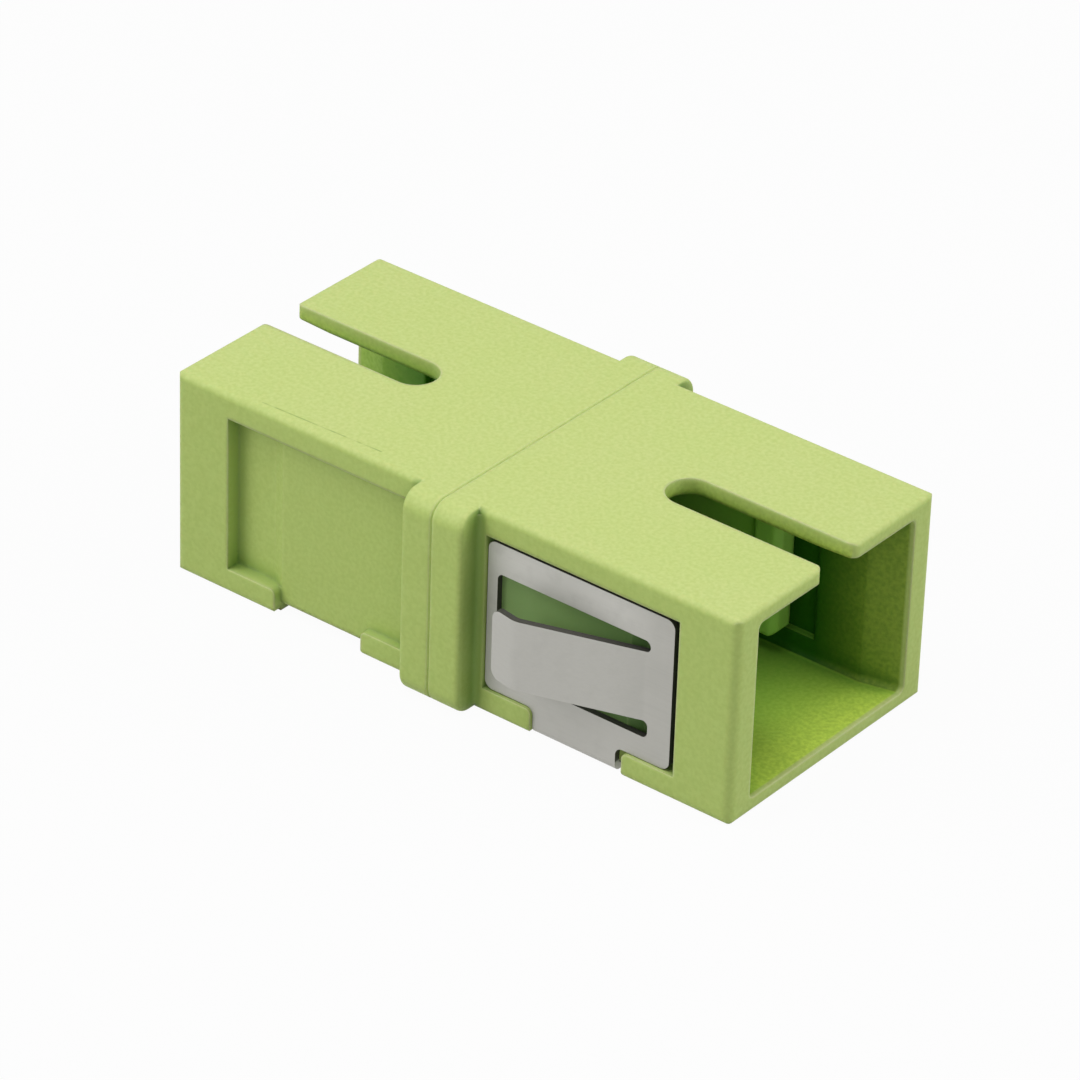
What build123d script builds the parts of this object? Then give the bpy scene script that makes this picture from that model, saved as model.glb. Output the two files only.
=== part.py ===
from build123d import *
import math
import os

# A coupler that joins two square push-pull fibre plugs end to end.
# X runs along the fibre with the seam at X = 0, Z is up and the underside is Z = 0.
# The plug slots are on top, and the spring clip sits around the +X half.

# Housing half, one moulding used twice
HALF_LENGTH = 14.4
BODY_WIDTH = 12.9
BODY_HEIGHT = 9.45
BODY_EDGE_RADIUS = 0.27
MOUTH_EDGE_RADIUS = 0.2
MOUTH_CORNER_RADIUS = 0.4
SEAM_CHAMFER = 0.07

# Collar that stops the coupler against the panel
COLLAR_HALF_LENGTH = 1.55
COLLAR_STEP = 1.1
COLLAR_CORNER_RADIUS = 0.85
COLLAR_EDGE_RADIUS = 0.22
COLLAR_FOOT_RADIUS = 0.2

# Plug cavity and its flared mouth
CAVITY_WIDTH = 9.2
CAVITY_HEIGHT = 8.0
CAVITY_CORNER_RADIUS = 0.3
MOUTH_FLARE_SIDE = 0.55
MOUTH_FLARE_TOP = 0.08
MOUTH_DEPTH = 1.8

# Room beside the hook arms, so that they can spread
ARM_POCKET_DEPTH = 0.35
ARM_POCKET_END = 10.25
ARM_POCKET_GAP = 0.1

# Slot in the top wall for the key of the plug
KEY_SLOT_WIDTH = 2.1
KEY_SLOT_INNER_END = 6.05
KEY_SLOT_CORNER_RADIUS = 0.35

# Recess in each side for the spring clip
RECESS_START = 1.93
RECESS_END = 11.58
RECESS_HEIGHT = 7.18
RAMP_TOP_AT = 8.96
RAMP_FOOT_AT = 9.6
END_POCKET_DEPTH = 0.7
OPENING_START = 4.42
OPENING_END = 9.03
LIP_CORNER_RADIUS = 0.25

# Spring clip of sheet metal
SHEET = 0.3
CLIP_INSET = 0.12
CLIP_WEB_CLEARANCE = 0.12
CLIP_COLLAR_GAP = 0.05
CLIP_MOUTH_GAP = 0.3
CLIP_TOP_GAP = 0.2
CLIP_LEG_GAP = 0.05
CLIP_CORNER_RADIUS = 0.4
CLIP_BEND_RADIUS = 0.05
CLIP_WEB_COLLAR_GAP = 0.03
CLIP_WEB_MOUTH_GAP = 0.4
CLIP_WEB_FILLET = 0.35
WINDOW_HEIGHT = 4.49
WINDOW_TOP_BAR = 1.39
WINDOW_STRIP = 0.5
WINDOW_END = 10.15
WINDOW_CORNER_RADIUS = 0.27
TONGUE_HEIGHT = 3.2
TONGUE_DROP = 0.12
TONGUE_FOLD_AT = 9.9
TONGUE_BEND_AT = 4.68
TONGUE_TIP_AT = 3.43
TONGUE_TILT = 18.0
TONGUE_TIP_TILT = 10.0
TONGUE_BEND_RADIUS = 0.8
TONGUE_CORNER_RADIUS = 0.45
TONGUE_ROOT_RADIUS = 0.24

# Latch holder, one moulding used twice
FLANGE_THICKNESS = 1.3
FLANGE_SHOULDER = 0.5
FLANGE_CLEARANCE = 0.05
BARREL_RADIUS = 2.35
BARREL_CHAMFER = 0.25
GUIDE_LENGTH = 0.5
GUIDE_RADIUS = 1.9
THROAT_CLEARANCE = 0.15
ARM_SIDE_CLEARANCE = 0.1
ARM_THICKNESS = 0.65
ARM_LENGTH = 9.05
ARM_HEIGHT = 6.0
ARM_CORNER_RADIUS = 0.35
ARM_ROOT_CHAMFER = 0.4
HOOK_REACH = 0.4
HOOK_NOSE = 0.3
HOOK_FLAT = 0.9
HOOK_BACK = 0.35
HOOK_TIP_THICKNESS = 0.8

# Split sleeve that lines up the two ferrules
SLEEVE_BORE_RADIUS = 1.25
SLEEVE_RADIUS = 1.6
SLEEVE_LENGTH = 11.4
SLEEVE_SLIT = 0.5
SLEEVE_EDGE_CHAMFER = 0.1
SLEEVE_RADIAL_CLEARANCE = 0.05
SLEEVE_END_CLEARANCE = 0.05

# Values that follow from those above
MIDDLE = BODY_HEIGHT / 2
HALF_WIDTH = BODY_WIDTH / 2
COLLAR_WIDTH = BODY_WIDTH + 2 * COLLAR_STEP
RECESS_BOTTOM = MIDDLE - RECESS_HEIGHT / 2
RECESS_TOP = MIDDLE + RECESS_HEIGHT / 2
RECESS_DEPTH = CLIP_INSET + SHEET
CHANNEL_DEPTH = SHEET + CLIP_WEB_CLEARANCE
MOUTH_WIDTH = CAVITY_WIDTH + 2 * MOUTH_FLARE_SIDE
MOUTH_HEIGHT = CAVITY_HEIGHT + 2 * MOUTH_FLARE_TOP
FLANGE_WIDTH = CAVITY_WIDTH + 2 * FLANGE_SHOULDER
FLANGE_HEIGHT = CAVITY_HEIGHT - 2 * FLANGE_CLEARANCE
ARM_OUTER = CAVITY_WIDTH / 2 - ARM_SIDE_CLEARANCE
ARM_INNER = ARM_OUTER - ARM_THICKNESS
ARM_POCKET_HEIGHT = ARM_HEIGHT + 2 * ARM_POCKET_GAP
CLIP_FACE = HALF_WIDTH - CLIP_INSET
FRAME_BOTTOM = RECESS_BOTTOM + CLIP_LEG_GAP
FRAME_TOP = RECESS_TOP - CLIP_TOP_GAP
WINDOW_TOP = FRAME_TOP - WINDOW_TOP_BAR
TONGUE_BOTTOM = MIDDLE - TONGUE_DROP - TONGUE_HEIGHT / 2
TONGUE_TOP = TONGUE_BOTTOM + TONGUE_HEIGHT
WEB_START = OPENING_START + CLIP_WEB_COLLAR_GAP
WEB_END = OPENING_END - CLIP_WEB_MOUTH_GAP
SLEEVE_CHAMBER_RADIUS = SLEEVE_RADIUS + SLEEVE_RADIAL_CLEARANCE
SLEEVE_CHAMBER_END = SLEEVE_LENGTH / 2 + SLEEVE_END_CLEARANCE
THROAT_RADIUS = SLEEVE_BORE_RADIUS + THROAT_CLEARANCE
BARREL_LENGTH = SLEEVE_CHAMBER_END + GUIDE_LENGTH
BEYOND = 1.0


def block(x0, x1, y0, y1, z0, z1):
    """Box between two corners."""
    size = (x1 - x0, y1 - y0, z1 - z0)
    return Pos((x0 + x1) / 2, (y0 + y1) / 2, (z0 + z1) / 2) * Box(*size)


def bar_along_x(x0, x1, width, height, radius):
    """Round-cornered bar centred on the fibre axis."""
    profile = RectangleRounded(width, height, radius)
    plane = Plane(origin=(x0, 0, MIDDLE), x_dir=(0, 1, 0), z_dir=(1, 0, 0))
    return extrude(plane * profile, amount=x1 - x0)


def both_sides(shape):
    """The shape and its mirror image across the XZ plane."""
    return shape + mirror(shape, about=Plane.XZ)


def edges_at(shape, axis, position):
    """Edges that lie wholly at one position along an axis."""
    return shape.edges().filter_by_position(axis, position - 1e-4, position + 1e-4)


def outer_body():
    """Plain outside of a housing half, with its share of the collar."""
    body = bar_along_x(COLLAR_HALF_LENGTH / 2, HALF_LENGTH, BODY_WIDTH, BODY_HEIGHT,
                       BODY_EDGE_RADIUS)
    body = fillet(edges_at(body, Axis.X, HALF_LENGTH), MOUTH_EDGE_RADIUS)
    body -= both_sides(mouth_corner())
    collar = bar_along_x(0, COLLAR_HALF_LENGTH, COLLAR_WIDTH, BODY_HEIGHT, COLLAR_CORNER_RADIUS)
    collar = fillet(edges_at(collar, Axis.X, COLLAR_HALF_LENGTH), COLLAR_EDGE_RADIUS)
    collar = chamfer(edges_at(collar, Axis.X, 0), SEAM_CHAMFER)
    return body + collar + both_sides(collar_foot())


def mouth_corner():
    """Waste outside the rounded upright corner beside the mouth, on the -Y side."""
    outline = corner_waste(HALF_LENGTH, -HALF_WIDTH, -1, 1, MOUTH_CORNER_RADIUS)
    return Pos(0, 0, -BEYOND) * extrude(outline, amount=BODY_HEIGHT + 2 * BEYOND)


def collar_foot():
    """Round in the corner between the collar and the -Y side."""
    outline = corner_waste(COLLAR_HALF_LENGTH, -HALF_WIDTH, 1, -1, COLLAR_FOOT_RADIUS)
    height = BODY_HEIGHT - 2 * BODY_EDGE_RADIUS
    return Pos(0, 0, BODY_EDGE_RADIUS) * extrude(outline, amount=height)


def cavity():
    """Room for the plug, the flange of the holder and the arms."""
    pocket_width = FLANGE_WIDTH + 2 * FLANGE_CLEARANCE
    flange_pocket = bar_along_x(-BEYOND, FLANGE_THICKNESS, pocket_width, CAVITY_HEIGHT,
                                CAVITY_CORNER_RADIUS)
    main = bar_along_x(0, HALF_LENGTH, CAVITY_WIDTH, CAVITY_HEIGHT, CAVITY_CORNER_RADIUS)
    arm_pocket = block(0, ARM_POCKET_END,
                       -CAVITY_WIDTH / 2 - ARM_POCKET_DEPTH, CAVITY_WIDTH / 2 + ARM_POCKET_DEPTH,
                       MIDDLE - ARM_POCKET_HEIGHT / 2, MIDDLE + ARM_POCKET_HEIGHT / 2)
    return flange_pocket + main + arm_pocket + mouth()


def mouth():
    """Flare that guides the plug in."""
    inner = Plane(origin=(HALF_LENGTH - MOUTH_DEPTH, 0, MIDDLE), x_dir=(0, 1, 0), z_dir=(1, 0, 0))
    outer = Plane(origin=(HALF_LENGTH, 0, MIDDLE), x_dir=(0, 1, 0), z_dir=(1, 0, 0))
    inner_profile = inner * RectangleRounded(CAVITY_WIDTH, CAVITY_HEIGHT, CAVITY_CORNER_RADIUS)
    outer_profile = outer * RectangleRounded(MOUTH_WIDTH, MOUTH_HEIGHT, CAVITY_CORNER_RADIUS)
    return loft([inner_profile, outer_profile])


def corner_waste(x, y, x_way, y_way, radius):
    """What a round takes off a square corner whose material lies the given ways from it."""
    centre = (x + x_way * radius, y + y_way * radius)
    square = Pos((x + centre[0]) / 2, (y + centre[1]) / 2) * Rectangle(radius, radius)
    return square - Pos(*centre) * Circle(radius)


def key_slot():
    """Slot with a round inner end, open at the mouth between two rounded corners."""
    radius = KEY_SLOT_WIDTH / 2
    centre = KEY_SLOT_INNER_END + radius
    length = HALF_LENGTH + BEYOND - centre
    outline = Pos(centre + length / 2, 0) * Rectangle(length, KEY_SLOT_WIDTH)
    outline += Pos(centre, 0) * Circle(radius)
    outline += corner_waste(HALF_LENGTH, radius, -1, 1, KEY_SLOT_CORNER_RADIUS)
    outline += corner_waste(HALF_LENGTH, -radius, -1, -1, KEY_SLOT_CORNER_RADIUS)
    return extrude(Pos(0, 0, MIDDLE) * outline, amount=BODY_HEIGHT + BEYOND - MIDDLE)


def side_recess():
    """Recess on the -Y side, with a ramp down to its end pocket and open below."""
    outside = -HALF_WIDTH - BEYOND
    floor = -HALF_WIDTH + RECESS_DEPTH
    pocket_floor = -HALF_WIDTH + END_POCKET_DEPTH
    outline = Polyline(
        (RECESS_START, outside), (RECESS_START, floor), (RAMP_TOP_AT, floor),
        (RAMP_FOOT_AT, pocket_floor), (RECESS_END, pocket_floor), (RECESS_END, outside), close=True)
    recess = Pos(0, 0, RECESS_BOTTOM) * extrude(make_face(outline), amount=RECESS_HEIGHT)
    opening = block(OPENING_START, OPENING_END, outside, floor, -BEYOND, MIDDLE)
    return recess + opening + lip_roundings()


def lip_roundings():
    """Rounds the ends of the two lips that the opening leaves along the bottom of the recess."""
    corners = Sketch()
    for x, along in ((OPENING_START, -1), (OPENING_END, 1)):
        for z, up in ((0, 1), (RECESS_BOTTOM, -1)):
            corners += corner_waste(x, z, along, up, LIP_CORNER_RADIUS)
    side = Plane(origin=(0, -HALF_WIDTH - BEYOND, 0), x_dir=(1, 0, 0), z_dir=(0, -1, 0))
    return extrude(side * corners, amount=-BEYOND - RECESS_DEPTH)


def bottom_channel():
    """Shallow channel across the underside for the web of the clip."""
    return block(OPENING_START, OPENING_END, -HALF_WIDTH - BEYOND, HALF_WIDTH + BEYOND,
                 -BEYOND, CHANNEL_DEPTH)


def housing_half():
    """Moulded housing half on the +X side."""
    cuts = cavity() + key_slot() + both_sides(side_recess()) + bottom_channel()
    return outer_body() - cuts


def hook_profile():
    """Outline of the hook arm on the +Y side, seen from above."""
    nose = ARM_LENGTH - HOOK_NOSE
    flat = nose - HOOK_FLAT
    back = flat - HOOK_BACK
    points = [
        (FLANGE_THICKNESS / 2, ARM_INNER - ARM_ROOT_CHAMFER),
        (FLANGE_THICKNESS, ARM_INNER - ARM_ROOT_CHAMFER),
        (FLANGE_THICKNESS + ARM_ROOT_CHAMFER, ARM_INNER),
        (back, ARM_INNER),
        (flat, ARM_INNER - HOOK_REACH),
        (nose, ARM_INNER - HOOK_REACH),
        (ARM_LENGTH, ARM_OUTER - HOOK_TIP_THICKNESS),
        (ARM_LENGTH, ARM_OUTER),
        (FLANGE_THICKNESS / 2, ARM_OUTER),
    ]
    return make_face(Polyline(*points, close=True))


def hook_arm():
    """Hook arm on the +Y side, with the corners of its tip rounded."""
    low = MIDDLE - ARM_HEIGHT / 2
    arm = Pos(0, 0, low) * extrude(hook_profile(), amount=ARM_HEIGHT)
    length = ARM_LENGTH + BEYOND
    outline = RectangleRounded(length, ARM_HEIGHT, ARM_CORNER_RADIUS)
    plane = Plane(origin=(ARM_LENGTH - length / 2, BODY_WIDTH, MIDDLE), x_dir=(1, 0, 0),
                  z_dir=(0, -1, 0))
    return arm & extrude(plane * outline, amount=2 * BODY_WIDTH)


def along_x(radius, x0, x1):
    """Cylinder on the fibre axis."""
    return Pos((x0 + x1) / 2, 0, MIDDLE) * Rot(0, 90, 0) * Cylinder(radius, x1 - x0)


def latch_holder():
    """Moulded insert on the +X side: flange, half of the sleeve barrel and two hook arms."""
    flange = bar_along_x(0, FLANGE_THICKNESS, FLANGE_WIDTH, FLANGE_HEIGHT, CAVITY_CORNER_RADIUS)
    barrel = along_x(BARREL_RADIUS, 0, BARREL_LENGTH)
    barrel = chamfer(edges_at(barrel, Axis.X, BARREL_LENGTH), BARREL_CHAMFER)
    arms = both_sides(hook_arm())
    chamber = along_x(SLEEVE_CHAMBER_RADIUS, -BEYOND, SLEEVE_CHAMBER_END)
    guide = Cone(THROAT_RADIUS, GUIDE_RADIUS, GUIDE_LENGTH)
    guide = Pos(SLEEVE_CHAMBER_END + GUIDE_LENGTH / 2, 0, MIDDLE) * Rot(0, 90, 0) * guide
    return flange + barrel + arms - (chamber + guide)


def split_sleeve():
    """Slit tube with its slit on top."""
    tube = along_x(SLEEVE_RADIUS, -SLEEVE_LENGTH / 2, SLEEVE_LENGTH / 2)
    tube -= along_x(SLEEVE_BORE_RADIUS, -SLEEVE_LENGTH, SLEEVE_LENGTH)
    ends = edges_at(tube, Axis.X, SLEEVE_LENGTH / 2) + edges_at(tube, Axis.X, -SLEEVE_LENGTH / 2)
    tube = chamfer(ends, SLEEVE_EDGE_CHAMFER)
    slit = block(-SLEEVE_LENGTH, SLEEVE_LENGTH, -SLEEVE_SLIT / 2, SLEEVE_SLIT / 2,
                 MIDDLE, MIDDLE + 2 * SLEEVE_RADIUS)
    return tube - slit


def rounded_plate(x0, x1, z0, z1, radius, face, depth):
    """Plate with round corners in the XZ plane, from the given -Y face inwards."""
    plane = Plane(origin=((x0 + x1) / 2, -face, (z0 + z1) / 2), x_dir=(1, 0, 0), z_dir=(0, -1, 0))
    return extrude(plane * RectangleRounded(x1 - x0, z1 - z0, radius), amount=-depth)


def clip_frame():
    """Flat frame on the -Y side with its window cut out."""
    x0 = RECESS_START + CLIP_COLLAR_GAP
    x1 = RECESS_END - CLIP_MOUTH_GAP
    frame = rounded_plate(x0, x1, FRAME_BOTTOM, FRAME_TOP, CLIP_CORNER_RADIUS, CLIP_FACE, SHEET)
    window = rounded_plate(x0 + WINDOW_STRIP, WINDOW_END, WINDOW_TOP - WINDOW_HEIGHT, WINDOW_TOP,
                           WINDOW_CORNER_RADIUS, CLIP_FACE + BEYOND, SHEET + 2 * BEYOND)
    return frame - window


def tongue_outline():
    """Front view of the tongue, flared at its root so that the slots beside it end round."""
    face = CLIP_FACE + 3 * BEYOND
    depth = 6 * BEYOND
    plate = rounded_plate(TONGUE_TIP_AT, RECESS_END, TONGUE_BOTTOM, TONGUE_TOP,
                          TONGUE_CORNER_RADIUS, face, depth)
    flares = corner_waste(WINDOW_END, TONGUE_TOP, -1, 1, TONGUE_ROOT_RADIUS)
    flares += corner_waste(WINDOW_END, TONGUE_BOTTOM, -1, -1, TONGUE_ROOT_RADIUS)
    side = Plane(origin=(0, -face, 0), x_dir=(1, 0, 0), z_dir=(0, -1, 0))
    return plate + extrude(side * flares, amount=-depth)


def clip_tongue():
    """Tongue on the -Y side, leaning outwards from its fold and turned back at its tip."""
    middle_y = -CLIP_FACE + SHEET / 2
    rise = (TONGUE_FOLD_AT - TONGUE_BEND_AT) * math.tan(math.radians(TONGUE_TILT))
    drop = (TONGUE_BEND_AT - TONGUE_TIP_AT) * math.tan(math.radians(TONGUE_TIP_TILT))
    points = [
        (WINDOW_END + SHEET, middle_y),
        (TONGUE_FOLD_AT, middle_y),
        (TONGUE_BEND_AT, middle_y - rise),
        (TONGUE_TIP_AT, middle_y - rise + drop),
    ]
    profile = trace(FilletPolyline(*points, radius=TONGUE_BEND_RADIUS), line_width=SHEET)
    strip = Pos(0, 0, TONGUE_BOTTOM - TONGUE_ROOT_RADIUS) * extrude(
        profile, amount=TONGUE_HEIGHT + 2 * TONGUE_ROOT_RADIUS)
    return strip & tongue_outline()


def clip_web():
    """U-shaped band under the body that joins the two frames."""
    top = FRAME_BOTTOM + CLIP_CORNER_RADIUS
    outer = block(WEB_START, WEB_END, -CLIP_FACE, CLIP_FACE, 0, top)
    outer = fillet(outer.edges().filter_by(Axis.X).group_by(Axis.Z)[0], CLIP_BEND_RADIUS + SHEET)
    inner = block(WEB_START - BEYOND, WEB_END + BEYOND, -CLIP_FACE + SHEET, CLIP_FACE - SHEET,
                  SHEET, top + BEYOND)
    inner = fillet(inner.edges().filter_by(Axis.X).group_by(Axis.Z)[0], CLIP_BEND_RADIUS)
    return outer - inner


def web_fillets():
    """Rounded inner corners on the -Y side, where the web leaves the bottom of the frame."""
    left = corner_waste(WEB_START, FRAME_BOTTOM, -1, -1, CLIP_WEB_FILLET)
    right = corner_waste(WEB_END, FRAME_BOTTOM, 1, -1, CLIP_WEB_FILLET)
    side = Plane(origin=(0, -CLIP_FACE, 0), x_dir=(1, 0, 0), z_dir=(0, -1, 0))
    return extrude(side * (left + right), amount=-SHEET)


def panel_clip():
    """Stamped and folded spring clip."""
    return both_sides(clip_frame() + clip_tongue() + web_fillets()) + clip_web()


def turned(shape):
    """The same moulding turned half a turn about Z, for the -X side."""
    return Rot(0, 0, 180) * shape


def main():
    os.makedirs("parts", exist_ok=True)
    front = housing_half()
    holder = latch_holder()
    pieces = {
        "housing_front": front,
        "housing_rear": turned(front),
        "latch_holder_front": holder,
        "latch_holder_rear": turned(holder),
        "split_sleeve": split_sleeve(),
        "panel_clip": panel_clip(),
    }
    for node, shape in pieces.items():
        export_step(shape, f"parts/{node}.step")


main()
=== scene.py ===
import math

import bpy
from mathutils import Matrix, Vector


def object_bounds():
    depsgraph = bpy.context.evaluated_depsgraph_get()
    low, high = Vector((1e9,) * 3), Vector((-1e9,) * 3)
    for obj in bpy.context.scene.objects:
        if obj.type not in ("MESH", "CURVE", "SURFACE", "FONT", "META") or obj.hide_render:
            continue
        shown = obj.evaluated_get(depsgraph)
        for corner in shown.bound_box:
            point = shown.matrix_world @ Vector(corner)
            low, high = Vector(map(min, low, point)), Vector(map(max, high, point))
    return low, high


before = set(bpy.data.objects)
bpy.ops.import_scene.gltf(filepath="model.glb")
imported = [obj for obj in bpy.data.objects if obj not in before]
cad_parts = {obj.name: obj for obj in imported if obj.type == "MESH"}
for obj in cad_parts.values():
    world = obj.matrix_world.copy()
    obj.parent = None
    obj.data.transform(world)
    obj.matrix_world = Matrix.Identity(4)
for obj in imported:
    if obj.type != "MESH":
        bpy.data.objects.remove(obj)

MM = 0.001
CAD_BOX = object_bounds()
HALF_LENGTH = CAD_BOX[1][0]
HEIGHT = CAD_BOX[1][2]

# Camera, as it stood for the photograph
IMAGE_SIDE = 1080
FOCAL_PIXELS = 6170.6
CENTRE_PIXEL = (547.6, 531.7)
SENSOR_MM = 36.0
CAMERA_AZIMUTH = 37.64
CAMERA_ELEVATION = 31.69
CAMERA_ROLL = 2.02
CAMERA_DISTANCE = 250.3 * MM
CAMERA_TARGET = Vector((0, 0, 4.7 * MM))
CAMERA_NEAR = 10.0 * MM

# Light, as the share of a surface's own colour that each source gives it head on
WORLD_LIGHT = 0.11
LAMP_DISTANCE = 0.30
LAMPS = {
    # name: (azimuth, elevation, share, side in metres)
    "lamp_top": (-20.0, 78.0, 0.62, 0.20),
    "lamp_front_left": (-42.0, 30.0, 0.39, 0.18),
    "lamp_back_right": (125.0, 32.0, 0.47, 0.18),
    "lamp_fill": (42.0, 22.0, 0.13, 0.18),
}
FLOOR_SIDE = 3.0
FLOOR_COLOUR = (0.48, 0.48, 0.48)
FLOOR_WHITE_SHARE = 0.96

# Surface colours in linear light
# Painted light: a paler lime for faces turned up than for the sides
LIME_TOP_LIT = (0.540, 0.620, 0.228)
LIME_SIDE = (0.478, 0.605, 0.170)
# Painted light: the lime where light reaches into the cavities
LIME_INSIDE_LIT = (0.675, 0.860, 0.115)
# Painted shade in the creases and at the collar's foot, and the colour of the drag mark
LIME_SHADE_AND_MARK = (0.170, 0.290, 0.055)
# Painted shade on the plastic under the clip, deeper under its fold
LIME_SHADE_UNDER_CLIP = (0.230, 0.370, 0.120)
LIME_SHADE_UNDER_FOLD = (0.105, 0.205, 0.055)
# Painted highlight along the open outer edges
LIME_EDGE_HIGHLIGHT = (0.740, 0.790, 0.420)
LIME_FLECK = (0.360, 0.480, 0.110)
HOUSING_SHADE = (0.010, 0.095, 0.001)
HOUSING_LIT_SHADE = (0.129, 0.335, 0.033)
# Painted light and painted shade on the latch holders in the cavities
HOLDER_INSIDE_LIT = (0.680, 0.800, 0.290)
HOLDER_SHADE = (0.300, 0.580, 0.090)
STEEL = (0.505, 0.498, 0.460)
# Painted light: paler steel higher up on the clip
STEEL_LIT = (0.610, 0.602, 0.560)
# Darker steel: painted shade towards the mouth end, and the scuffs
STEEL_DARK = (0.435, 0.428, 0.392)
# Painted shade on the cut faces of the sheet
STEEL_CUT_SHADE = (0.060, 0.058, 0.050)
CERAMIC = (0.86, 0.86, 0.83)
CERAMIC_DEEP = (0.80, 0.80, 0.77)

# Where the outer skin of the body begins, from the middle planes and from the underside
SKIN_SIDE = 5.5 * MM
SKIN_END = HALF_LENGTH - 0.25 * MM
SKIN_TOP_FROM = HEIGHT - 0.75 * MM
SKIN_TOP = HEIGHT - 0.1 * MM

# Width over which a mask goes from nothing to full
MASK_RAMP = 0.1 * MM

# Painted light in the cavities: how far it reaches from their mouths, and how much of it each
# face gets
LIT_FROM = HALF_LENGTH - 1.4 * MM
FLOOR_DARK_AT = HALF_LENGTH - 5.9 * MM
WALL_DARK_AT = HALF_LENGTH - 4.1 * MM
FLOOR_DEEP_LIT = 0.45
FLOOR_LIT = 1.0
WALL_DEEP_LIT = 0.02
WALL_LIT = 0.46
REAR_FADE = 1.0 * MM

# Painted light that falls through the key slots
SLOT_FROM = HEIGHT - 1.45 * MM
SLOT_TO = HEIGHT - 0.55 * MM
SLOT_LIT = 0.8

# Painted shade in the corner at the foot of the collar, from the middle planes
FOOT_FROM = 1.53 * MM
FOOT_TO = 1.95 * MM
FOOT_START = 0.05 * MM
FOOT_SIDE = 6.45 * MM
FOOT_SIDE_START = 0.2 * MM
FOOT_SIDE_FADE = 0.9 * MM
FOOT_SIDE_SHARE = 0.2

# Painted shade where the clip covers the plastic of the front half, and where the fold's painted
# shade deepens
CLIP_FROM = 1.7 * MM
CLIP_TO = 11.6 * MM
CLIP_BACK = 6.15 * MM
CLIP_BOTTOM = 1.1 * MM
CLIP_TOP = 8.3 * MM
FOLD_SHADE_FROM = 5.0 * MM
FOLD_SHADE_TO = 9.5 * MM

# Faint drag mark along the near edge of the rear half's top
MARK_FROM = -10.2 * MM
MARK_TO = -4.0 * MM
MARK_SIDE = -5.75 * MM
MARK_SLANT = 0.035
MARK_HALF_WIDTH = 0.05 * MM
MARK_BREAKS_PER_MM = (1.2, 1.2, 1.2)
MARK_BREAK_BAND = (0.40, 0.55)
MARK_SHARE = (0.15, 0.8)

# Bands that most of a noise falls in
NOISE_BAND = (0.35, 0.65)
WIDE_NOISE_BAND = (0.3, 0.7)

# Rays or samples that the edge and openness masks take
EDGE_SAMPLES = 6
OPENNESS_SAMPLES = 16

# Surface of the plastic: frequencies in cycles a millimetre, heights and shares
GRAIN_PER_MM = (5.5, 5.5, 5.5)
GRAIN_HEIGHT = 0.010 * MM
GRAIN_STRENGTH = 0.8
GRAIN_SHARE = 0.32
CLOUD_PER_MM = (0.25, 0.25, 0.25)
CLOUD_LEAST = 0.8
SWELL_PER_MM = (0.8, 0.8, 0.8)
SWELL_HEIGHT = 0.02 * MM
SWELL_STRENGTH = 0.15
EDGE_SOFTNESS = 0.28 * MM
PLASTIC_ROUGHNESS = (0.44, 0.60)
SCATTER_SHARE = 0.06
SCATTER_DEPTH = 0.4 * MM

# Upward part of the normal, from none to full, on the top and on the floor of a cavity, where
# light is painted
TOP_FACING = (0.2, 0.95)
FLOOR_FACING = (0.90, 0.99)

# Reach and range of openness for the painted shade in the creases and deep in the cavities
CREASE_REACH = 1.6 * MM
CREASE_OPEN = (0.30, 0.82)
CAVITY_REACH = 9.0 * MM
CAVITY_OPEN = (0.30, 0.80)

# Painted highlight along the outer edges
EDGE_HIGHLIGHT_WIDTH = 0.18 * MM
EDGE_HIGHLIGHT_TURN = 0.80
EDGE_HIGHLIGHT_SHARE = 0.7
EDGE_HIGHLIGHT_OPEN = (0.7, 1.0)

# Surface of the steel
STEEL_CLOUD_PER_MM = (0.3, 0.3, 0.5)
STEEL_CLOUD_LEAST = 0.7
# Painted shade: the steel darkens towards the mouth end
MOUTH_SHADE_FROM = 8.5 * MM
MOUTH_SHADE_TO = 10.5 * MM
MOUTH_SHADE_SHARE = (0.2, 0.9)
# Painted light: the steel pales between these heights
STEEL_LIT_FROM = 6.0 * MM
STEEL_LIT_TO = 7.4 * MM
SCUFFS_PER_MM = (1.6, 1.6, 1.6)
SCUFF_BAND = (0.50, 0.75)
SCUFF_SHARE = 0.35
CUT_FACING = (0.5, 0.8)
WEB_TOP = 0.4 * MM
ROLLING_PER_MM = (0.35, 14.0, 14.0)
ROLLING_HEIGHT = 0.0015 * MM
ROLLING_STRENGTH = 0.6
DIMPLES_PER_MM = (5.0, 5.0, 5.0)
DIMPLE_HEIGHT = 0.002 * MM
DIMPLE_STRENGTH = 0.4
STEEL_ROUGHNESS = (0.46, 0.60)
STEEL_METALLIC = 0.5

# Surface of the ceramic
CERAMIC_CLOUD_PER_MM = (0.5, 0.5, 0.5)
GROUND_PER_MM = (9.0, 0.6, 0.6)
GROUND_HEIGHT = 0.001 * MM
GROUND_STRENGTH = 0.4
CERAMIC_ROUGHNESS = (0.18, 0.30)


def direction(azimuth, elevation):
    """Unit vector from the object towards a place; azimuth 0 stands on the -Y side, 90 on +X."""
    a = math.radians(azimuth)
    e = math.radians(elevation)
    return Vector((math.sin(a) * math.cos(e), -math.cos(a) * math.cos(e), math.sin(e)))


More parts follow.
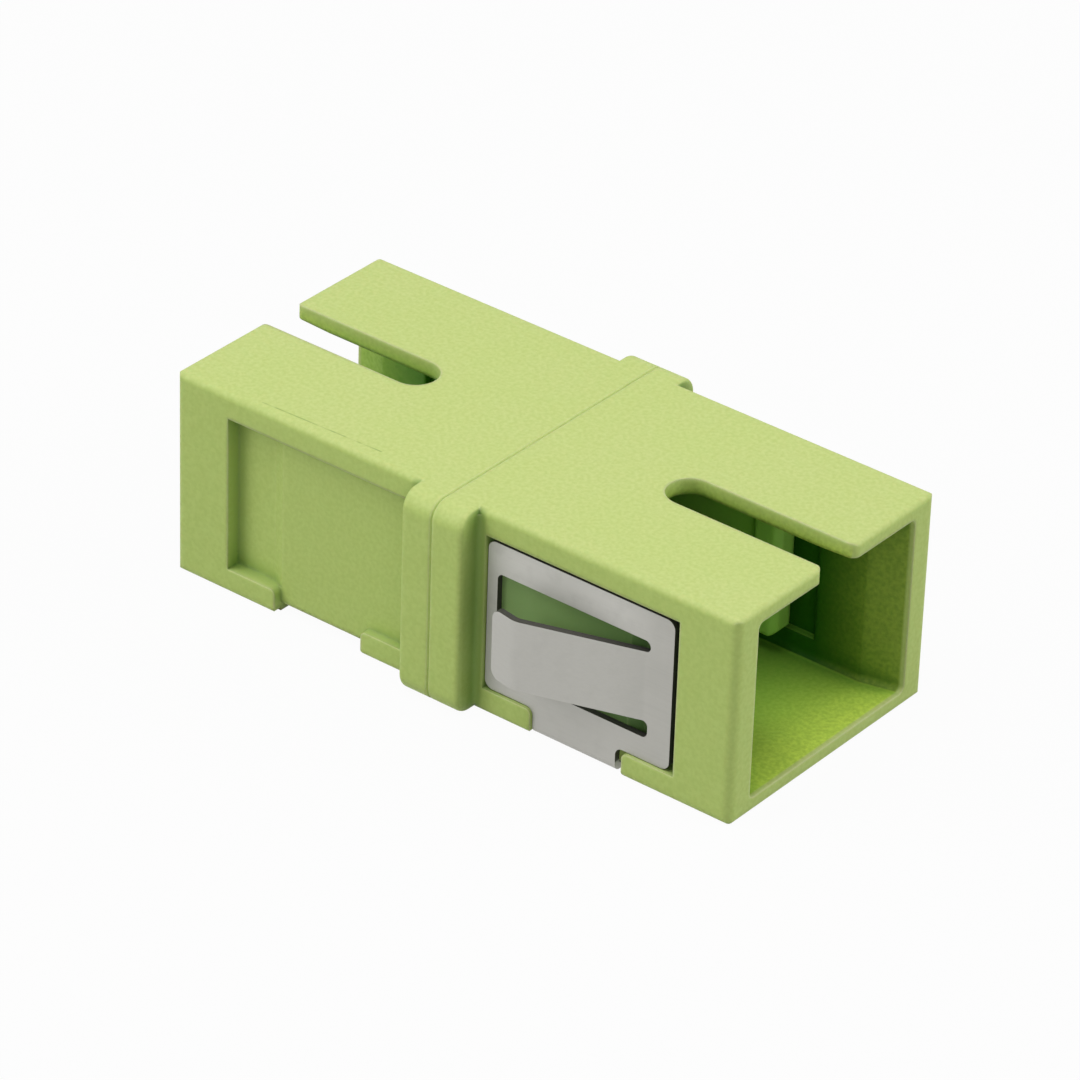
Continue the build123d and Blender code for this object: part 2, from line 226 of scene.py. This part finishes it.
def add_camera():
    """Camera at the photograph's place, angle and framing."""
    back = direction(CAMERA_AZIMUTH, CAMERA_ELEVATION)
    right = Vector((0, 0, 1)).cross(back).normalized()
    up = back.cross(right)
    roll = math.radians(CAMERA_ROLL)
    tilted_right = right * math.cos(roll) + up * math.sin(roll)
    tilted_up = up * math.cos(roll) - right * math.sin(roll)
    data = bpy.data.cameras.new("camera")
    data.sensor_width = SENSOR_MM
    data.lens = SENSOR_MM * FOCAL_PIXELS / IMAGE_SIDE
    data.shift_x = (IMAGE_SIDE / 2 - CENTRE_PIXEL[0]) / IMAGE_SIDE
    data.shift_y = (CENTRE_PIXEL[1] - IMAGE_SIDE / 2) / IMAGE_SIDE
    data.clip_start = CAMERA_NEAR
    data.dof.use_dof = False
    camera = bpy.data.objects.new("camera", data)
    turn = Matrix((tilted_right, tilted_up, back)).transposed().to_4x4()
    camera.matrix_world = Matrix.Translation(CAMERA_TARGET + back * CAMERA_DISTANCE) @ turn
    bpy.context.collection.objects.link(camera)
    bpy.context.scene.camera = camera


def add_lamps():
    """Soft square lamps around the object."""
    for name, (azimuth, elevation, share, side) in LAMPS.items():
        data = bpy.data.lights.new(name, "AREA")
        data.shape = "SQUARE"
        data.size = side
        data.energy = share * math.pi ** 2 * LAMP_DISTANCE ** 2
        lamp = bpy.data.objects.new(name, data)
        towards = direction(azimuth, elevation)
        lamp.location = CAMERA_TARGET + towards * LAMP_DISTANCE
        lamp.rotation_euler = towards.to_track_quat("Z", "Y").to_euler()
        bpy.context.collection.objects.link(lamp)


def seen_directly(tree):
    """1 for camera, glossy and transmission rays, so that metal shows the same backdrop."""
    path = tree.nodes.new("ShaderNodeLightPath")
    seen = path.outputs["Is Camera Ray"]
    for ray in ("Is Glossy Ray", "Is Transmission Ray"):
        larger = tree.nodes.new("ShaderNodeMath")
        larger.operation = "MAXIMUM"
        tree.links.new(seen, larger.inputs[0])
        tree.links.new(path.outputs[ray], larger.inputs[1])
        seen = larger.outputs[0]
    return seen


def add_world():
    """Even light all round, white where it is seen."""
    world = bpy.data.worlds.new("studio")
    world.use_nodes = True
    tree = world.node_tree
    background = tree.nodes["Background"]
    background.inputs["Color"].default_value = (1, 1, 1, 1)
    level = tree.nodes.new("ShaderNodeMapRange")
    level.inputs["To Min"].default_value = WORLD_LIGHT
    level.inputs["To Max"].default_value = 1.0
    tree.links.new(seen_directly(tree), level.inputs["Value"])
    tree.links.new(level.outputs["Result"], background.inputs["Strength"])
    bpy.context.scene.world = world


def add_floor():
    """Pale floor that shows nearly white and keeps the object's shadow."""
    half = FLOOR_SIDE / 2
    mesh = bpy.data.meshes.new("floor")
    mesh.from_pydata([(-half, -half, 0), (half, -half, 0), (half, half, 0), (-half, half, 0)], [],
                     [(0, 1, 2, 3)])
    floor = bpy.data.objects.new("floor", mesh)
    bpy.context.collection.objects.link(floor)
    material = bpy.data.materials.new("floor")
    material.use_nodes = True
    tree = material.node_tree
    tree.nodes.clear()
    output = tree.nodes.new("ShaderNodeOutputMaterial")
    diffuse = tree.nodes.new("ShaderNodeBsdfDiffuse")
    diffuse.inputs["Color"].default_value = (*FLOOR_COLOUR, 1)
    white = tree.nodes.new("ShaderNodeEmission")
    white.inputs["Strength"].default_value = 1.0
    share = tree.nodes.new("ShaderNodeMath")
    share.operation = "MULTIPLY"
    share.inputs[1].default_value = FLOOR_WHITE_SHARE
    mix = tree.nodes.new("ShaderNodeMixShader")
    tree.links.new(seen_directly(tree), share.inputs[0])
    tree.links.new(share.outputs[0], mix.inputs["Fac"])
    tree.links.new(diffuse.outputs["BSDF"], mix.inputs[1])
    tree.links.new(white.outputs["Emission"], mix.inputs[2])
    tree.links.new(mix.outputs["Shader"], output.inputs["Surface"])
    mesh.materials.append(material)


class Paint:
    """A material with its shader, and short calls for the nodes that feed it."""

    def __init__(self, name):
        self.material = bpy.data.materials.new(name)
        self.material.use_nodes = True
        self.tree = self.material.node_tree
        self.shader = self.tree.nodes["Principled BSDF"]
        self.coordinates = self.tree.nodes.new("ShaderNodeTexCoord").outputs["Object"]

    def constant(self, **values):
        """Sets sockets of the shader, named with _ for each space."""
        for name, value in values.items():
            self.shader.inputs[name.replace("_", " ")].default_value = value

    def noise(self, per_mm, detail=2.0, roughness=0.5):
        """Noise with a frequency along X, Y and Z in cycles a millimetre."""
        mapping = self.tree.nodes.new("ShaderNodeMapping")
        mapping.inputs["Scale"].default_value = [f / MM for f in per_mm]
        noise = self.tree.nodes.new("ShaderNodeTexNoise")
        noise.inputs["Scale"].default_value = 1.0
        noise.inputs["Detail"].default_value = detail
        noise.inputs["Roughness"].default_value = roughness
        self.tree.links.new(self.coordinates, mapping.inputs["Vector"])
        self.tree.links.new(mapping.outputs["Vector"], noise.inputs["Vector"])
        return noise.outputs["Fac"]

    def ranged(self, value, from_low, from_high, to_low, to_high):
        """Value carried from one range to another, and held inside it."""
        node = self.tree.nodes.new("ShaderNodeMapRange")
        for name, number in (("From Min", from_low), ("From Max", from_high),
                             ("To Min", to_low), ("To Max", to_high)):
            node.inputs[name].default_value = number
        self.tree.links.new(value, node.inputs["Value"])
        return node.outputs["Result"]

    def mixed(self, factor, first, second):
        """Colour between two, each a colour or another node's output."""
        node = self.tree.nodes.new("ShaderNodeMix")
        node.data_type = "RGBA"
        self.tree.links.new(factor, node.inputs["Factor"])
        for socket, colour in ((node.inputs[6], first), (node.inputs[7], second)):
            if isinstance(colour, tuple):
                socket.default_value = (*colour, 1)
            else:
                self.tree.links.new(colour, socket)
        return node.outputs[2]

    def joined(self, operation, first, second):
        """Two values added, multiplied and so on."""
        node = self.tree.nodes.new("ShaderNodeMath")
        node.operation = operation
        for socket, value in zip(node.inputs, (first, second)):
            if isinstance(value, float):
                socket.default_value = value
            else:
                self.tree.links.new(value, socket)
        return node.outputs[0]

    def product(self, *masks):
        """Masks multiplied together."""
        result = masks[0]
        for mask in masks[1:]:
            result = self.joined("MULTIPLY", result, mask)
        return result

    def above(self, value, level, ramp=MASK_RAMP):
        """0 up to a level, 1 from a ramp beyond it."""
        return self.ranged(value, level, level + ramp, 0.0, 1.0)

    def below(self, value, level, ramp=MASK_RAMP):
        """1 up to a level, 0 from a ramp beyond it."""
        return self.ranged(value, level, level + ramp, 1.0, 0.0)

    def bevelled(self, radius):
        """Surface normal smoothed across the edges within a radius."""
        bevel = self.tree.nodes.new("ShaderNodeBevel")
        bevel.inputs["Radius"].default_value = radius
        bevel.samples = EDGE_SAMPLES
        return bevel.outputs["Normal"]

    def edges(self, radius, strongest):
        """0 on flat faces, rising to 1 along edges within the radius."""
        geometry = self.tree.nodes.new("ShaderNodeNewGeometry")
        dot = self.tree.nodes.new("ShaderNodeVectorMath")
        dot.operation = "DOT_PRODUCT"
        self.tree.links.new(self.bevelled(radius), dot.inputs[0])
        self.tree.links.new(geometry.outputs["Normal"], dot.inputs[1])
        return self.ranged(dot.outputs["Value"], 1.0, strongest, 0.0, 1.0)

    def openness(self, distance, low, high):
        """0 where the share of open sky within a distance is low, 1 where it is high."""
        node = self.tree.nodes.new("ShaderNodeAmbientOcclusion")
        node.samples = OPENNESS_SAMPLES
        node.only_local = True
        node.inputs["Distance"].default_value = distance
        return self.ranged(node.outputs["AO"], low, high, 0.0, 1.0)

    def part_of(self, coordinates, axis):
        """One component of a position or normal."""
        split = self.tree.nodes.new("ShaderNodeSeparateXYZ")
        self.tree.links.new(coordinates, split.inputs["Vector"])
        return split.outputs[axis]

    def place(self, axis):
        """One coordinate of the object."""
        return self.part_of(self.coordinates, axis)

    def from_middle(self, axis):
        """Distance from a middle plane of the object."""
        return self.joined("ABSOLUTE", self.place(axis), 0.0)

    def normal(self, axis):
        """One component of the surface normal, in the object's own directions."""
        return self.part_of(self.tree.nodes.new("ShaderNodeTexCoord").outputs["Normal"], axis)

    def bump(self, height, distance, strength, below=None):
        """Bump of a real height, on top of another bump if there is one."""
        node = self.tree.nodes.new("ShaderNodeBump")
        node.inputs["Distance"].default_value = distance
        node.inputs["Strength"].default_value = strength
        self.tree.links.new(height, node.inputs["Height"])
        if below is not None:
            self.tree.links.new(below, node.inputs["Normal"])
        return node.outputs["Normal"]

    def feed(self, socket, value):
        """Links a value to a socket of the shader."""
        self.tree.links.new(value, self.shader.inputs[socket])


def top_skin(paint):
    """1 at the height of the top face, 0 below it."""
    return paint.ranged(paint.place("Z"), SKIN_TOP_FROM, SKIN_TOP, 0.0, 1.0)


def outer_skin(paint):
    """1 on the outside of the body, 0 in its cavities."""
    side = paint.above(paint.from_middle("Y"), SKIN_SIDE)
    end = paint.above(paint.from_middle("X"), SKIN_END)
    return paint.joined("MAXIMUM", paint.joined("MAXIMUM", side, end), top_skin(paint))


def under_clip_shade(paint):
    """1 on the recess floors that the clip covers, where shade is painted, 0 elsewhere."""
    along = paint.place("X")
    side = paint.from_middle("Y")
    height = paint.place("Z")
    return paint.product(
        paint.above(along, CLIP_FROM),
        paint.below(along, CLIP_TO),
        paint.above(side, SKIN_SIDE),
        paint.below(side, CLIP_BACK),
        paint.above(height, CLIP_BOTTOM),
        paint.below(height, CLIP_TOP),
    )


def drag_mark(paint):
    """1 along a fine broken line on the top, 0 elsewhere."""
    along = paint.place("X")
    slant = paint.ranged(along, MARK_FROM, MARK_TO, MARK_SLANT * (MARK_FROM - MARK_TO), 0.0)
    line = paint.joined("ADD", slant, MARK_SIDE)
    away = paint.joined("SUBTRACT", paint.place("Y"), line)
    away = paint.joined("ABSOLUTE", away, 0.0)
    return paint.product(
        paint.below(away, 0.0, MARK_HALF_WIDTH),
        paint.ranged(paint.noise(MARK_BREAKS_PER_MM), *MARK_BREAK_BAND, *MARK_SHARE),
        paint.above(along, MARK_FROM),
        paint.below(along, MARK_TO - MASK_RAMP),
        top_skin(paint),
    )


def collar_foot_shade(paint):
    """1 in the corner between the collar and the sides of the body, where shade is painted, 0
    elsewhere.
    """
    end = paint.from_middle("X")
    side = paint.from_middle("Y")
    return paint.product(
        paint.above(end, FOOT_FROM - FOOT_START, FOOT_START),
        paint.ranged(end, FOOT_FROM, FOOT_TO, 1.0, 0.0),
        paint.ranged(side, FOOT_SIDE, FOOT_SIDE + FOOT_SIDE_FADE, 1.0, FOOT_SIDE_SHARE),
        paint.above(side, FOOT_SIDE - FOOT_SIDE_START, FOOT_SIDE_START),
    )


def light_inside(paint, flat_floor):
    """Share of painted light in the cavities: most on the floor, at the mouth and under the slot.
    """
    end = paint.from_middle("X")
    floor = paint.ranged(end, FLOOR_DARK_AT, LIT_FROM, FLOOR_DEEP_LIT, FLOOR_LIT)
    wall = paint.ranged(end, WALL_DARK_AT, LIT_FROM, WALL_DEEP_LIT, WALL_LIT)
    under_slot = paint.ranged(paint.place("Z"), SLOT_FROM, SLOT_TO, 0.0, SLOT_LIT)
    wall = paint.joined("MAXIMUM", wall, under_slot)
    more = paint.joined("MULTIPLY", flat_floor, paint.joined("SUBTRACT", floor, wall))
    return paint.joined("ADD", wall, more)


def outside_colour(paint, clear, fleck):
    """Lime with painted light paler on top and painted shade deeper in its creases, with flecks
    of its grain.
    """
    cloud = paint.ranged(paint.noise(CLOUD_PER_MM), *NOISE_BAND, CLOUD_LEAST, 1.0)
    # Painted light: faces turned up take the paler top lime
    facing_up = paint.ranged(paint.normal("Z"), *TOP_FACING, 0.0, 1.0)
    colour = paint.mixed(paint.product(facing_up, cloud), LIME_SIDE, LIME_TOP_LIT)
    # Painted shade in the creases, where little around is open
    colour = paint.mixed(clear, LIME_SHADE_AND_MARK, colour)
    return paint.mixed(fleck, colour, LIME_FLECK)


def inside_colour(paint, clear, fleck, deep, shade, lit_shade):
    """Lime of the cavities in painted light and shade: deep where painted light reaches it,
    painted shade elsewhere, lighter on flat floors and in the rear half.
    """
    flat_floor = paint.ranged(paint.normal("Z"), *FLOOR_FACING, 0.0, 1.0)
    open_share = paint.openness(CAVITY_REACH, *CAVITY_OPEN)
    reached = paint.product(open_share, light_inside(paint, flat_floor), clear)
    # Painted light: the rear half's cavity walls take the lighter painted shade of the floors
    rear_half = paint.below(paint.place("X"), -REAR_FADE, REAR_FADE)
    lit = paint.joined("MAXIMUM", flat_floor, rear_half)
    unlit = paint.mixed(lit, shade, lit_shade)
    return paint.mixed(fleck, paint.mixed(reached, unlit, deep), unlit)


def moulded_plastic(name, deep, shade, lit_shade):
    """Lime plastic with a fine grain, with painted light paler on top, a painted highlight along
    its edges and painted shade deeper in its hollows.
    """
    paint = Paint(name)
    grain = paint.noise(GRAIN_PER_MM, detail=3.0)
    fleck = paint.ranged(grain, *NOISE_BAND, 0.0, GRAIN_SHARE)
    clear = paint.openness(CREASE_REACH, *CREASE_OPEN)
    outside = outside_colour(paint, clear, fleck)
    inside = inside_colour(paint, clear, fleck, deep, shade, lit_shade)
    skin = outer_skin(paint)
    colour = paint.mixed(skin, inside, outside)
    # Painted shade in the corner at the collar's foot
    colour = paint.mixed(collar_foot_shade(paint), colour, LIME_SHADE_AND_MARK)
    # Painted shade on the plastic under the clip, deeper towards the fold
    deeper = paint.ranged(paint.place("X"), FOLD_SHADE_FROM, FOLD_SHADE_TO, 0.0, 1.0)
    clip_shade = paint.mixed(deeper, LIME_SHADE_UNDER_CLIP, LIME_SHADE_UNDER_FOLD)
    colour = paint.mixed(under_clip_shade(paint), colour, clip_shade)
    # Drag mark, in the same dark lime as the painted crease shade
    colour = paint.mixed(drag_mark(paint), colour, LIME_SHADE_AND_MARK)
    # Painted highlight along the open outer edges
    edge_highlight = paint.joined("MULTIPLY", paint.edges(EDGE_HIGHLIGHT_WIDTH, EDGE_HIGHLIGHT_TURN), EDGE_HIGHLIGHT_SHARE)
    highlight_open = paint.ranged(clear, *EDGE_HIGHLIGHT_OPEN, 0.0, 1.0)
    colour = paint.mixed(paint.product(edge_highlight, skin, highlight_open), colour, LIME_EDGE_HIGHLIGHT)
    paint.feed("Base Color", colour)
    paint.feed("Roughness", paint.ranged(grain, *WIDE_NOISE_BAND, *PLASTIC_ROUGHNESS))
    swell = paint.noise(SWELL_PER_MM, detail=1.0)
    soft = paint.bump(swell, SWELL_HEIGHT, SWELL_STRENGTH, paint.bevelled(EDGE_SOFTNESS))
    paint.feed("Normal", paint.bump(grain, GRAIN_HEIGHT, GRAIN_STRENGTH, soft))
    paint.constant(IOR=1.5, Specular_IOR_Level=0.25, Subsurface_Weight=SCATTER_SHARE,
                   Subsurface_Scale=SCATTER_DEPTH)
    return paint.material


def rolled_steel():
    """Dull stainless sheet with faint rolling lines along X and scuffs, painted light higher up,
    and painted shade towards the mouth end and on its cut edges.
    """
    paint = Paint("rolled_steel")
    cloud = paint.noise(STEEL_CLOUD_PER_MM, detail=3.0)
    cloud = paint.ranged(cloud, *NOISE_BAND, STEEL_CLOUD_LEAST, 1.0)
    # Painted shade towards the mouth end, and painted light higher up
    mouth_shade = paint.product(paint.ranged(paint.place("X"), MOUTH_SHADE_FROM, MOUTH_SHADE_TO, *MOUTH_SHADE_SHARE), cloud)
    high = paint.ranged(paint.place("Z"), STEEL_LIT_FROM, STEEL_LIT_TO, 0.0, 1.0)
    colour = paint.mixed(mouth_shade, paint.mixed(high, STEEL, STEEL_LIT), STEEL_DARK)
    scuffs = paint.ranged(paint.noise(SCUFFS_PER_MM, detail=4.0), *SCUFF_BAND, 0.0, SCUFF_SHARE)
    colour = paint.mixed(scuffs, colour, STEEL_DARK)
    # Painted shade on the cut faces of the sheet, above the web
    edge_on = paint.joined("ABSOLUTE", paint.normal("Y"), 0.0)
    edge_on = paint.ranged(edge_on, *CUT_FACING, 1.0, 0.0)
    cut_shade = paint.product(edge_on, paint.above(paint.place("Z"), WEB_TOP))
    paint.feed("Base Color", paint.mixed(cut_shade, colour, STEEL_CUT_SHADE))
    lines = paint.noise(ROLLING_PER_MM, detail=4.0, roughness=0.6)
    paint.feed("Roughness", paint.ranged(lines, *WIDE_NOISE_BAND, *STEEL_ROUGHNESS))
    dimples = paint.bump(paint.noise(DIMPLES_PER_MM), DIMPLE_HEIGHT, DIMPLE_STRENGTH)
    paint.feed("Normal", paint.bump(lines, ROLLING_HEIGHT, ROLLING_STRENGTH, dimples))
    paint.constant(Metallic=STEEL_METALLIC)
    return paint.material


def ground_ceramic():
    """White ceramic with a ground surface."""
    paint = Paint("ground_ceramic")
    cloud = paint.ranged(paint.noise(CERAMIC_CLOUD_PER_MM), *NOISE_BAND, 0.0, 1.0)
    paint.feed("Base Color", paint.mixed(cloud, CERAMIC_DEEP, CERAMIC))
    rings = paint.noise(GROUND_PER_MM, detail=3.0)
    paint.feed("Roughness", paint.ranged(rings, *WIDE_NOISE_BAND, *CERAMIC_ROUGHNESS))
    paint.feed("Normal", paint.bump(rings, GROUND_HEIGHT, GROUND_STRENGTH))
    paint.constant(IOR=2.1)
    return paint.material


def dress_nodes():
    """Gives every carried node its material."""
    housing = moulded_plastic("housing_plastic", LIME_INSIDE_LIT, HOUSING_SHADE,
                              HOUSING_LIT_SHADE)
    holder = moulded_plastic("holder_plastic", HOLDER_INSIDE_LIT, HOLDER_SHADE, HOLDER_SHADE)
    finishes = {
        "housing_front": housing,
        "housing_rear": housing,
        "latch_holder_front": holder,
        "latch_holder_rear": holder,
        "split_sleeve": ground_ceramic(),
        "panel_clip": rolled_steel(),
    }
    for node, material in finishes.items():
        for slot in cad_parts[node].material_slots:
            slot.material = material


bpy.context.scene.view_settings.view_transform = "Standard"
add_camera()
add_world()
add_lamps()
add_floor()
dress_nodes()
